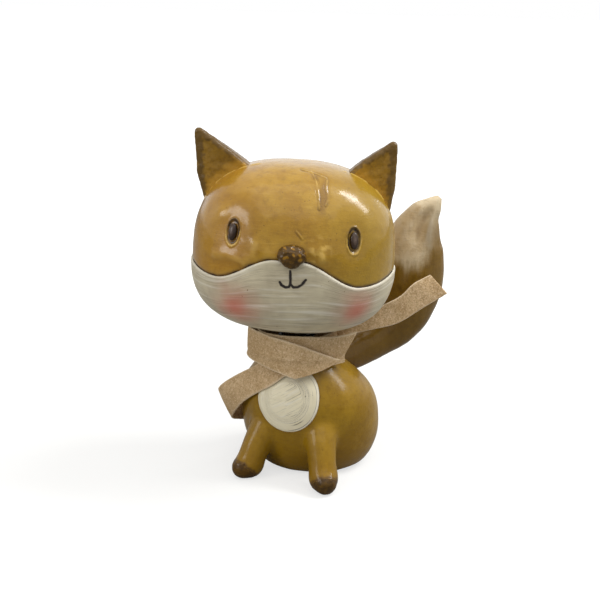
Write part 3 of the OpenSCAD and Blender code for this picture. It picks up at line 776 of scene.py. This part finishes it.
def make_face_mask(bm):
    flow = bm.verts.layers.float_vector.new("flow")
    ink, blush, groove_darkening, edge = add_layers(bm, "ink", "blush", "groove_darkening", "edge")
    for v in bm.verts:
        p = v.co
        v[ink] = 1 - smooth((nearest(p, MOUTH_LINES) - 0.34 - 0.1 * lumps(p, 1.0, 5)) / 0.2)
        spots = [(p - spot).length * (1 + 0.22 * lumps(p, 4, 3)) for spot in BLUSH_SPOTS]
        v[blush] = max(bell(spots[0], 6.0), bell(spots[1], 5.2))
        inside = mask_field(p)
        v[edge] = bell(inside - 0.2, 0.5) * (0.8 + 0.6 * lumps(p, 3, 2))
        # Brush grooves darker near the mask's outline and towards the chin.
        v[groove_darkening] = min(1.0, 0.25 + 0.5 * bell(inside - 1.5, 2.0) + 0.5 * smooth((-6 - p.z) / 14))
        v[flow] = Vector((p.x, mask_edge(p.x) * math.exp(-max(inside, 0) / 7) - p.z + 0.06 * p.x, 0))
    push_out(bm, mask_relief)
    white = white_paint_material("mask_white", (202, 192, 164), (184, 173, 147), layers=(
        ("blush", (204, 88, 70), 0.70), ("edge", (238, 234, 222), 0.5), ("ink", (26, 16, 10), 1.0)))
    mask = piece("white_face_mask", bm, white, "head", ["face_mask"], HEAD_FRAME)
    thicken(mask, MASK_T)


def make_eyes():
    eye = resin_material("eye_brown", (50, 32, 20), (44, 28, 16), (26, 16, 10), (84, 64, 48),
                         mottle=0.4, specks=0.2, roughness_cut=0.08, layers=(("painted_eye_sheen", (104, 88, 78), 0.8),))
    wide, deep, high = EYE_BEAD
    for side, name in ((1, "left_eye"), (-1, "right_eye")):
        bm = ball(16)
        for v in bm.verts:
            v.co = Vector((v.co.x * wide, v.co.y * deep + 0.5, v.co.z * high))
        # A lighter centre on each bead: a painted reflection.
        paint_points(bm, "painted_eye_sheen", lambda p: spot(p, -0.15, 0.3, 0.6, 1.7))
        find_hollows(bm, 3)
        piece(name + "_bead", bm, eye, "head", [name], HEAD_FRAME @ EYES[side])


def make_nose():
    bm = ball(34)
    for v in bm.verts:
        p = v.co
        p = p / (abs(p.x) ** 2.5 + abs(p.y) ** 2.5 + abs(p.z) ** 2.5) ** (1 / 2.5)
        wide = mix(0.60, 1.0, smooth((p.z + 1.0) / 1.15)) * (1 - 0.14 * smooth(p.z))
        v.co = Vector((p.x * 4.95 * wide, p.y * 3.9 - 0.1, p.z * 3.95))
    push_out(bm, lambda p, n: 0.34 * lumps(p, 1.9, 2) + 0.16 * lumps(p, 0.8, 4) - 0.1)
    find_hollows(bm, 10)
    paint_points(bm, "gold_and_highlight", lambda p: smooth((lumps(p, 1.3, 9) - 0.12) / 0.3) * smooth((p.z + 2.5) / 3))
    umber = resin_material("nose_umber", (84, 58, 10), (68, 46, 8), (34, 22, 6), (140, 100, 24),
                           mottle=0.5, specks=0.5, gloss=0.4, layers=(("gold_and_highlight", (158, 114, 24), 0.75),))
    piece("nose_nugget", bm, umber, "head", ["nose"], HEAD_FRAME @ face_frame(0, NOSE_Z))


def ear_shoulder(x):
    return CROWN_H * bow(x / HEAD_HALF_W, CROWN_POWER)


def above_crown(p):
    return p.z - ear_shoulder(min(abs(p.x), 33))


def make_ears():
    ear_paint = resin_material("ear_brown", (150, 112, 30), (130, 96, 24), (64, 42, 10),
                               (174, 134, 52), mottle=0.5, specks=0.9, gloss=0.4,
                               layers=(("top", (134, 102, 34), 0.6), ("foot", (184, 138, 44), 0.75),
                                       ("rim", (84, 62, 26), 0.8)))
    for side, name in ((1, "left_ear"), (-1, "right_ear")):
        tip = Vector((side * EAR_TIP[0] - EAR_LEAN, -1, EAR_TIP[1] - 1.3))
        outer = Vector((side * (EAR_OUT_X + 0.8) - EAR_LEAN / 2, 0, ear_shoulder(EAR_OUT_X) + 8))
        knobs = [(tip, 1.3)] + [(outer + Vector((0, y, 0)), 1.3) for y in (-1.5, 0.5)]
        for x in (EAR_IN_X + 1.6, EAR_OUT_X - 1.6):
            knobs += [(Vector((side * x, y, ear_shoulder(x) - 3)), 1.6)
                      for y in (1.6 - EAR_T / 2, EAR_T / 2 - 1.6)]
        bm = bmesh.new()
        for at, radius in knobs:
            bmesh.ops.create_icosphere(bm, subdivisions=3, radius=radius, matrix=Matrix.Translation(at))
        hull = bmesh.ops.convex_hull(bm, input=bm.verts[:])
        bmesh.ops.delete(bm, geom=list({g for g in hull["geom_interior"] + hull["geom_unused"]
                                        if isinstance(g, bmesh.types.BMVert)}), context="VERTS")
        bm = fuse(bm, EAR_VOXEL)
        relax(bm, 14)
        inner_foot = Vector((side * (EAR_IN_X + 1), 0, ear_shoulder(EAR_IN_X + 1)))
        outer_foot = Vector((side * (EAR_OUT_X + 0.4), 0, ear_shoulder(EAR_OUT_X)))

        def from_sides(p):
            flat = Vector((p.x, 0, p.z))
            top = Vector((tip.x, 0, tip.z + 1.2))
            return min(line_distance(flat, [inner_foot, top]), line_distance(flat, [top, outer, outer_foot]))

        def relief(p, n):
            lift = 0.2 + 0.16 * lumps(p, 2.2, 6) + 0.07 * lumps(p, 0.9, 8)
            lift += 1.1 * bell(p.z - tip.z + 7, 6) * max(0.0, -n.x * side)
            if n.y < -0.4:
                lift -= 0.3 * smooth((from_sides(p) - 1.2) / 2.2)
            return lift

        push_out(bm, relief)
        find_hollows(bm, 8)
        paint_points(bm, "rim", lambda p: min(
            1.0, (1 - smooth((from_sides(p) - 0.7 + lumps(p, 1.4, 3)) / 1.2))
            + 0.75 * smooth((p.z - tip.z + 4.5) / 5)))
        paint_points(bm, "foot", lambda p: smooth((5.0 - above_crown(p) + 2 * lumps(p, 2.5, 2)) / 5))
        paint_points(bm, "top", lambda p: smooth((above_crown(p) - 3 + 5 * lumps(p, 2.0, 4)) / 9))
        piece(name + "_horn", bm, ear_paint, "head", [name], HEAD_FRAME)


# The body

def body_r(z):
    if z < RUMP_Z:
        return BASE_R + (RUMP_R - BASE_R) * math.sqrt(max(0, 1 - (1 - z / RUMP_Z) ** 2))
    if z < NECK_Z:
        return mix(RUMP_R, NECK_R, smooth(((z - RUMP_Z) / (NECK_Z - RUMP_Z)) ** SHOULDER_POWER))
    return NECK_R


def body_point(turn, z, lift=0.0):
    """A point on the body's skin; turn 0 is straight ahead and 90 the fox's left."""
    shift = min(max(z / NECK_Z, 0), 1) ** 2
    a = math.radians(turn)
    return Vector((NECK_X * shift + (body_r(z) + lift) * math.sin(a),
                   NECK_Y * shift - (body_r(z) * BODY_DEPTH + lift) * math.cos(a), z))


def leg_joints(side):
    paw_y = -27.0 - (1.5 if side > 0 else 0)
    return [(Vector((side * 8.5, -16.0, 23)), 6.6),
            (Vector((side * mix(8.5, 14, 0.45), mix(-16.5, paw_y, 0.5), mix(23, 8, 0.55))), 5.6),
            (Vector((side * mix(8.5, 14, 0.85), mix(-16.5, paw_y, 0.82), 8)), 4.9),
            (Vector((side * 14, paw_y + 1, 4.5)), 5.3),
            (Vector((side * 15.6, paw_y - 1.6, 3.8)), 4.13)]


def toe_field(p):
    """Above 0 in the dark tip of a paw."""
    if p.y > -17 or p.z > 14:
        return -5.0
    joints = leg_joints(1 if p.x > 0 else -1)
    ankle, (toe, toe_r) = joints[2][0], joints[4]
    along = (p - toe).dot((toe - ankle).normalized())
    return along - (toe_r - 4.5) + 0.7 * lumps(p, 2.4, 4) + 0.4 * lumps(p, 0.9, 2)


def patch_field(p):
    """Above 0 in the belly patch; roughly the distance to its outline."""
    if p.y > -6:
        return -9.0
    return (1 - math.hypot((p.x - PATCH_X) / PATCH_HALF_W, (p.z - PATCH_Z) / PATCH_HALF_H)) * 10.5


def smooth_ends(t):
    """Steps from 0 to 1 that are shorter near both ends."""
    return mix(t, (1 - math.cos(math.pi * t)) / 2, 0.5)


def make_body():
    bm = bmesh.new()
    bmesh.ops.create_cone(bm, cap_ends=True, segments=128, radius1=1, radius2=1, depth=2)
    upright = [e for e in bm.edges if abs(e.verts[0].co.z - e.verts[1].co.z) > 1]
    bmesh.ops.subdivide_edges(bm, edges=upright, cuts=90)
    for v in bm.verts:
        z = mix(0.0, NECK_Z, smooth_ends((v.co.z + 1) / 2))
        v.co = body_point(math.degrees(math.atan2(v.co.x, -v.co.y)), z)
    for side in (-1, 1):
        joints = leg_joints(side)
        for (a, ra), (b, rb) in zip(joints, joints[1:]):
            for i in range(9):
                t = i / 8
                bmesh.ops.create_icosphere(bm, subdivisions=3, radius=mix(ra, rb, t),
                                           matrix=Matrix.Translation(a.lerp(b, t)))
    bm = fuse(bm, BODY_VOXEL)
    relax(bm, 36)
    for v in bm.verts:
        v.co.z = max(v.co.z - 0.05, 0.0)
    cut_along(bm, patch_field)
    patch = bm.copy()
    cut_along(bm, toe_field)
    toes = bm.copy()
    keep_faces(bm, toe_field, -1)
    keep_faces(toes, toe_field)
    keep_faces(patch, patch_field)

    def relief(p, n):
        if p.z < 0.05:
            return 0.0
        lift = 0.14 * lumps(p, 8, 1) + 0.05 * lumps(p, 3, 5) + 0.016 * lumps(p, 1.3, 8)
        inside = patch_field(p)
        return lift - (0.4 * smooth(inside / 0.5 + 0.3) if inside > -0.3 else 0)

    push_out(bm, relief)
    close_holes(bm)
    find_hollows(bm, share=0.7)
    paint_points(bm, "toe", lambda p: smooth((toe_field(p) + 1.3) / 1.3))
    paint_points(bm, "seam", lambda p: bell(patch_field(p), 0.5) * (0.7 + 0.6 * lumps(p, 2.2, 3)))
    # Darker towards the base: painted shade.
    paint_points(bm, "low", lambda p: smooth((24 - p.z) / 24))
    coat = resin_material("body_ochre", (152, 117, 24), (138, 104, 17), (88, 58, 6), (174, 138, 44),
                          mottle=0.25, specks=0.4, gloss=0.4, layers=(
                              # Painted shade towards the base.
                              ("low", (136, 98, 2), 0.6),
                              ("seam", (90, 60, 20), 0.5), ("toe", (78, 54, 26), 0.9)))
    piece("body_figure", bm, coat, "figure", ["body_casting"])
    umber = resin_material("paw_umber", (88, 60, 16), (70, 48, 12), (38, 25, 8), (146, 108, 30),
                           mottle=0.6, specks=0.9, gloss=0.3)
    for side, name in ((1, "left_paw_tip"), (-1, "right_paw_tip")):
        toe = toes.copy()
        keep_faces(toe, lambda p: p.x * side)
        close_holes(toe)
        push_out(toe, lambda p, n: 0.10 * lumps(p, 1.5, 2) if p.z > 0.05 else 0.0)
        find_hollows(toe, 6)
        piece(name + "_toe", toe, umber, "figure", [name])
    toes.free()
    make_belly_patch(patch)


def make_belly_patch(bm):
    flow = bm.verts.layers.float_vector.new("flow")
    groove_darkening, edge = add_layers(bm, "groove_darkening", "edge")
    for v in bm.verts:
        p = v.co
        u, w = (p.x - PATCH_X) / PATCH_HALF_W, (p.z - PATCH_Z) / PATCH_HALF_H
        ring, turn = math.hypot(u, w), math.atan2(w, u)
        right = smooth((u + 0.1) / 0.7) * smooth((0.9 - w) / 0.6)
        # Brush grooves darker on the patch's right side and outer ring.
        v[groove_darkening] = min(2.2, 0.2 + 2.2 * right * smooth((ring - 0.35) / 0.4) + 0.8 * smooth((u + 0.2) / 0.5))
        v[edge] = bell(patch_field(p) - 0.3, 0.4) * right
        curve = smooth((ring - 0.5) / 0.3)
        v[flow] = Vector((turn * 9, mix(p.z * 0.9 - p.x * 0.55, ring * 11, curve), 0))
    push_out(bm, lambda p, n: 0.14 * lumps(p, 8, 1) + 0.22 * (1 - math.exp(-max(patch_field(p), 0) / 0.35)))
    white = white_paint_material("patch_white", (238, 229, 200), (226, 216, 186), layers=(
        ("edge", (246, 240, 224), 0.6),))
    patch = piece("belly_paint", bm, white, "figure", ["belly_patch"])
    thicken(patch, PATCH_T)


# The tail

TAIL_LINE = [(4.64, 3.36, 34.1, 0.50), (16.82, 19.04, 40.37, 0.62), (23.78, 26.04, 46.96, 0.82),
             (27.55, 28.0, 56.48, 0.97), (28.71, 28.0, 67.12, 1.0), (28.13, 28.0, 77.2, 0.94),
             (30.9, 28.3, 86.2, 0.63), (34.2, 28.8, 91.0, 0.34), (36.4, 29.6, 94, 0.08)]
TAIL_HALF_W, TAIL_HALF_T, TAIL_GROOVE, TAIL_FACE, TAIL_PALE_Z = 11.0, 7.0, 1.4, 20.0, 68.0


def spline(points, t):
    last = len(points) - 1
    k = min(int(t), last - 1)
    f = t - k
    a, b, c, d = points[max(k - 1, 0)], points[k], points[k + 1], points[min(k + 2, last)]
    return [q + 0.5 * f * (r - p + f * (2 * p - 5 * q + 4 * r - s + f * (3 * (q - r) + s - p)))
            for p, q, r, s in zip(a, b, c, d)]


def tail_spot(share, turn):
    last = len(TAIL_LINE) - 1
    at = spline(TAIL_LINE, share * last)
    before, after = (spline(TAIL_LINE, min(max(share * last + d, 0), last)) for d in (-0.25, 0.25))
    way = (Vector(after[:3]) - Vector(before[:3])).normalized()
    face = math.radians(TAIL_FACE)
    broad = way.cross(Vector((math.sin(face), -math.cos(face), 0))).normalized()
    thick = way.cross(broad).normalized()
    fade = smooth((share - 0.55) / 0.15) * smooth((0.9 - share) / 0.15)
    front = max(0.0, -math.sin(turn))
    groove = TAIL_GROOVE * fade * front ** 16
    ridge = 0.9 * fade * max(0.0, math.cos(turn + math.radians(62))) ** 24
    half_t = TAIL_HALF_T * max(at[3], 0) ** 0.8 - groove + ridge
    return (Vector(at[:3]) + broad * math.cos(turn) * TAIL_HALF_W * at[3] + thick * math.sin(turn) * half_t)


def tail_across(p):
    face = math.radians(TAIL_FACE)
    return (p.x - 29) * math.cos(face) + (p.y - 28) * math.sin(face)


def tail_fade(p):
    """How far up the tail's paint has turned from ochre to pearl, 0 to 1."""
    start = TAIL_PALE_Z + mix(-5, 6, smooth((tail_across(p) - 1) / 9))
    return smooth((p.z - start + 3 * lumps(p, 5, 2)) / 13)


def tail_pale_edge(p):
    across = tail_across(p)
    zigzag = [(-60, 6), (-9, 5), (-2, -5), (3, -3), (9, 3), (60, 8)]
    for (x0, z0), (x1, z1) in zip(zigzag, zigzag[1:]):
        if across <= x1:
            return TAIL_PALE_Z + mix(z0, z1, (across - x0) / (x1 - x0))
    return TAIL_PALE_Z + 8


def tail_material():
    """Ochre that fades up into brushed pearly cream."""
    material, tree, paint = new_material("tail_paint")
    ochre = hand_paint(tree, (146, 113, 38), (130, 97, 26), (76, 50, 10), (166, 130, 56), 0.4, 0.5)
    pearl = hand_paint(tree, (222, 204, 170), (204, 180, 140), (146, 114, 74), (236, 224, 200), 0.35, 0.3)
    streaks = noise_at(tree, in_millimetres(tree), 1.0, 4, 0.6, stretch=(0.5, 0.5, 0.10))
    uneven = step_between(tree, streaks, 0.35, 0.65, -0.10, 0.10)
    share = step_between(tree, join_math(tree, "ADD", painted_on(tree, "pale"), uneven), 0.05, 0.95)
    colour = mix_colour(tree, share, ochre.outputs["Color"], pearl.outputs["Color"])
    # Darker low on the tail from darker paint and painted shade, and painted shade on its outer side.
    colour = paint_over(tree, colour, [("deep", (94, 67, 4), 0.75), ("far_side_shade", (112, 86, 40), 0.75)])
    wire(tree, paint, Base_Color=colour, Roughness=ochre.outputs["Roughness"], Specular_IOR_Level=0.15)
    set_coat(tree, paint, 0.5)
    set_bump(tree, paint, join_math(tree, "MULTIPLY_ADD", streaks, 1.2, ochre.outputs["Height"]), RESIN_BUMP)
    return material


def make_tail():
    bm = bmesh.new()
    bmesh.ops.create_grid(bm, x_segments=170, y_segments=110, size=1)
    for v in bm.verts:
        v.co = tail_spot((v.co.x + 1) / 2, (v.co.y + 1) * math.pi)
    bmesh.ops.remove_doubles(bm, verts=bm.verts[:], dist=0.01)
    close_holes(bm)
    bmesh.ops.recalc_face_normals(bm, faces=bm.faces[:])
    relax(bm, 2)
    push_out(bm, lambda p, n: 0.22 * lumps(p, 7, 3) + 0.09 * lumps(Vector((p.x, p.y, p.z * 0.4)), 2.2, 6))
    find_hollows(bm, 12)
    paint_points(bm, "pale", tail_fade)
    # Darker towards the bottom of the tail: darker paint and painted shade.
    paint_points(bm, "deep", lambda p: smooth((60 - p.z) / 18))
    # Darker on the tail's outer side: painted shade.
    paint_points(bm, "far_side_shade",
                 lambda p: smooth((p.x * 0.94 + p.y * 0.34 - 37.5) / 6) * smooth((95 - p.z) / 14))
    edge = lambda p: p.z - tail_pale_edge(p)
    cut_along(bm, edge)
    tip = bm.copy()
    keep_faces(bm, edge, -1)
    keep_faces(tip, edge)
    close_holes(bm)
    close_holes(tip)
    coat = tail_material()
    piece("tail_lower", bm, coat, "figure", ["tail"])
    piece("tail_pale_tip", tip, coat, "figure", ["tail_tip"])


# The scarf: three strips of felt. A station holds the strip's lower and upper edge, each as its turn
# round the body, its height above the neck's top and its lift off the skin.

def lay_on(base, stations):
    """Stations whose lifts are measured from a layer of the scarf, turned into lifts off the skin."""
    return [(a, b, base + c, d, e, base + f) for a, b, c, d, e, f in stations]


UNDER = FELT_GAP + FELT_T / 2
MIDDLE = UNDER + FELT_T + FELT_GAP
OVER = MIDDLE + FELT_T + FELT_GAP
LOOP_LINE = [
    (124.4, 16.3, 43, 128.4, 22.5, 37.7), (125.5, 11, 34, 127.5, 19.8, 31), (126, 6, 25, 127, 15.6, 26),
    (127, 4.2, 16.5, 128, 12.6, 20), (132, 1.8, 6, 131, 8, 13.5), (141, -1.5, 2.4, 141, 7, 6)
] + lay_on(UNDER, [
        (158, -3, 0, 158, 6.9, 1), (190, -3.2, 0, 190, 6.9, 0), (225, -3.2, 0, 225, 6.9, 0),
        (260, -3.2, 0, 260, 6.9, 0), (295, -3.2, 0, 295, 7, 0)]) + lay_on(MIDDLE, [
            (325, -3, 0, 325, 7.5, 0), (360, -3, 0, 360, 7.8, 0), (395, -3.1, 0, 395, 7.7, 0),
            (425, -3.2, 0.8, 430, 7.1, 2.4), (443, -3.3, 1.6, 456, 7.1, 6.4)])
BAND_LINE = lay_on(MIDDLE, [
    (-150, -3, 0, -150, 7, 0), (-105, -3.1, 1, -105, 7.1, 1), (-66, -3.2, 2.4, -66, 7.5, 2)]) + lay_on(OVER, [
        (-32, -3.5, 0.4, -24, 7.8, 0.4), (-6, -4.8, 0.2, 18, 5.7, 0.2), (8, -5.9, 0.2, 52, 1.6, 1.2),
        (13.6, -6.4, 0.2, 71, -1.2, 2.4)])
DRAPE_LINE = lay_on(UNDER, [
    (136, -3.2, 0, 136, 6.9, 0), (112, -3.2, 0, 112, 6.9, 0), (86, -3.2, 0, 84, 6.9, 0),
    (62, -3.4, 0, 54, 6.7, 0),
    (38, -3.9, 0, 26, 6, 0), (18, -4.8, 0, 6, 4.9, 0), (0, -6.8, 0, -13, 2.6, 0), (-14, -10.5, 0, -31, -1, 0),
    (-29, -14.6, 0, -46, -6, 0.4), (-42, -19.4, 0.8, -59, -11, 2.8), (-55, -25.6, 2.2, -68, -17, 6.2),
    (-69, -31, 3, -80, -22, 6.8), (-83, -34, 1.2, -93, -24.6, 3), (-93, -35, 0, -103, -25, 0.4)])


def strip_spot(line, t, k):
    q = spline(line, t)
    turn, rise, lift = (mix(q[c], q[c + 3], k) for c in range(3))
    return body_point(turn, NECK_Z + rise, lift)


def strip_run(line, i, steps):
    """Length of step i along the strip's middle, with so many steps between stations."""
    return (strip_spot(line, (i + 1) / steps, 0.5) - strip_spot(line, i / steps, 0.5)).length


def make_strip(name, line, replaced, seed):
    last = len(line) - 1
    along = last * STATION_STEPS
    length = sum(strip_run(line, i, STATION_STEPS) for i in range(along))
    steps, fine = int(length / STRIP_STEP), STATION_STEPS * 8
    stops, gone = [0.0], 0.0
    for i in range(last * fine):
        gone += strip_run(line, i, fine)
        if gone >= len(stops) * length / steps and len(stops) < steps:
            stops.append((i + 1) / fine)
    stops.append(float(last))
    bm = bmesh.new()
    bmesh.ops.create_grid(bm, x_segments=len(stops) - 1, y_segments=STRIP_CELLS, size=1)
    edge = bm.verts.layers.float.new("edge")
    for v in bm.verts:
        i = round((v.co.x + 1) / 2 * (len(stops) - 1))
        k = (v.co.y + 1) / 2
        ragged = 0.012 * noise.noise(Vector((i * 0.31, seed, round(k) * 5.0)))
        k = k + ragged * (1 if k in (0.0, 1.0) else 0)
        v[edge] = bell(min(k, 1 - k) * FELT_W, 0.35)
        v.co = strip_spot(line, stops[i], mix(-EDGE_OUT, 1 + EDGE_OUT, k))
    bmesh.ops.recalc_face_normals(bm, faces=bm.faces[:])
    push_out(bm, lambda p, n: 0.11 * lumps(p, 4.5, seed) + 0.05 * lumps(p, 1.1, seed))
    strip = piece(name, bm, FELT, "figure", [replaced])
    cloth = strip.modifiers.new("thickness", "SOLIDIFY")
    cloth.thickness, cloth.offset, cloth.use_even_offset = FELT_T * 0.94 * MM, 0, True
    soft = strip.modifiers.new("soft_edges", "SUBSURF")
    soft.levels = soft.render_levels = 1


def make_scarf():
    make_strip("felt_loop", LOOP_LINE, "scarf_loop", 1.0)
    make_strip("felt_band", BAND_LINE, "scarf_band", 2.0)
    make_strip("felt_drape", DRAPE_LINE, "scarf_drape", 3.0)


# Hidden metal and plastic

def make_spring():
    bm = bmesh.new()
    steps = 48 * SPRING_CURLS
    bmesh.ops.create_circle(bm, segments=16, radius=SPRING_WIRE / 2, cap_ends=False,
                            matrix=(Matrix.Translation((SPRING_R, 0, SPRING_LOW))
                                    @ Matrix.Rotation(math.pi / 2, 4, "X")))
    rise = (SPRING_HIGH - SPRING_LOW) / steps
    bmesh.ops.spin(bm, geom=bm.edges[:] + bm.verts[:], cent=(0, 0, 0), axis=(0, 0, 1), dvec=(0, 0, rise),
                   angle=2 * math.pi * SPRING_CURLS, steps=steps, use_merge=False)
    close_holes(bm)
    bmesh.ops.recalc_face_normals(bm, faces=bm.faces[:])
    piece("neck_coil", bm, spring_steel_material(), "spring", ["neck_spring"],
          Matrix.Translation((NECK_X, NECK_Y, 0)))


def dress_hidden_nodes():
    plastic = plain_plastic_material()
    for name in ("lower_spring_seat", "upper_spring_seat", "head_socket"):
        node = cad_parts[name]
        node.data.materials.clear()
        node.data.materials.append(plastic)


scene.view_settings.view_transform = "Standard"
make_camera()
make_world()
make_floor()
add_lamp("key_lamp", (0.05, 0.74, 0.62), 1.1, 1.30, 0.52, (1.0, 0.985, 0.95))
add_lamp("top_lamp", (-0.2, 1.0, 0.10), 0.9, 0.8, 0.10)
add_lamp("first_window", (0.77, 0.61, 0.20), 0.8, 0.14, 0.34, tall=2.4)
add_lamp("second_window", (0.52, 0.50, -0.56), 0.8, 0.12, 0.09)
add_lamp("third_window", (0.54, 0.76, 0.16), 0.8, 0.17, 0.40, tall=1.5)
add_lamp("left_lamp", (-0.80, 0.26, 0.55), 0.9, 0.30, 0.25, (1.0, 0.98, 0.95))
HAND_PAINT = hand_paint_group()
BRUSH_LINES = brush_lines_group()
FELT = felt_material()
make_head()
make_eyes()
make_nose()
make_ears()
make_body()
make_tail()
make_scarf()
make_spring()
dress_hidden_nodes()
